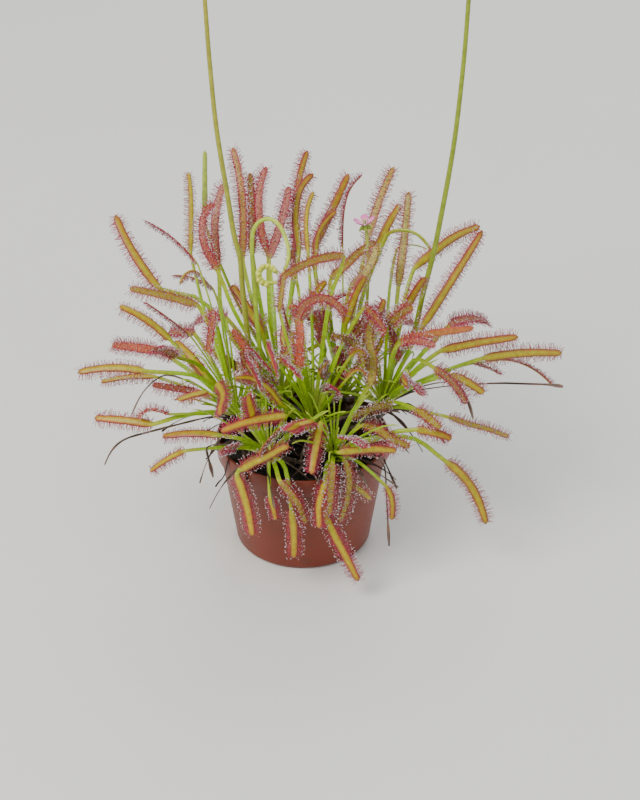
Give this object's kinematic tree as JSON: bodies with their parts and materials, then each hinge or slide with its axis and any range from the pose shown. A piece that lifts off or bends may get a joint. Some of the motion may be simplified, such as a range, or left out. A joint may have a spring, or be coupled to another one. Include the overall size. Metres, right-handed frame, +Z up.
{
  "type": "sundew plant",
  "caption": "Clump of sticky-leaved carnivorous sundew rosettes with slender flower stalks, rooted in dark peat in a small tapered nursery pot that stands on its flat base.",
  "frame": {"origin": "centre of the pot's underside", "axes": "+Z up, +X to the right and -Y towards the viewer"},
  "size_m": [0.2533, 0.1849, 0.3254],
  "materials": {
    "pot_plastic": "moulded satin plastic, terracotta brown",
    "peat": "damp crumbly peat, near black",
    "leaf": "fresh leaf, yellow-green petioles, olive to orange blades with red tentacles and clear drops",
    "stalk": "smooth fresh stem, olive to tan",
    "petal": "thin matt petal, pink"
  },
  "bodies": {
    "root": {"pot": "pot_plastic", "soil": "peat", "rosette_left": "leaf", "rosette_back_left": "leaf", "rosette_middle": "leaf", "rosette_back_right": "leaf", "rosette_right": "leaf", "rosette_front_left": "leaf", "rosette_front_right": "leaf", "scape_tall_right": "stalk", "scape_tall_left": "stalk", "scape_young": "stalk", "scape_flower": "stalk", "flower_petals": "petal"}
  },
  "joints": []
}
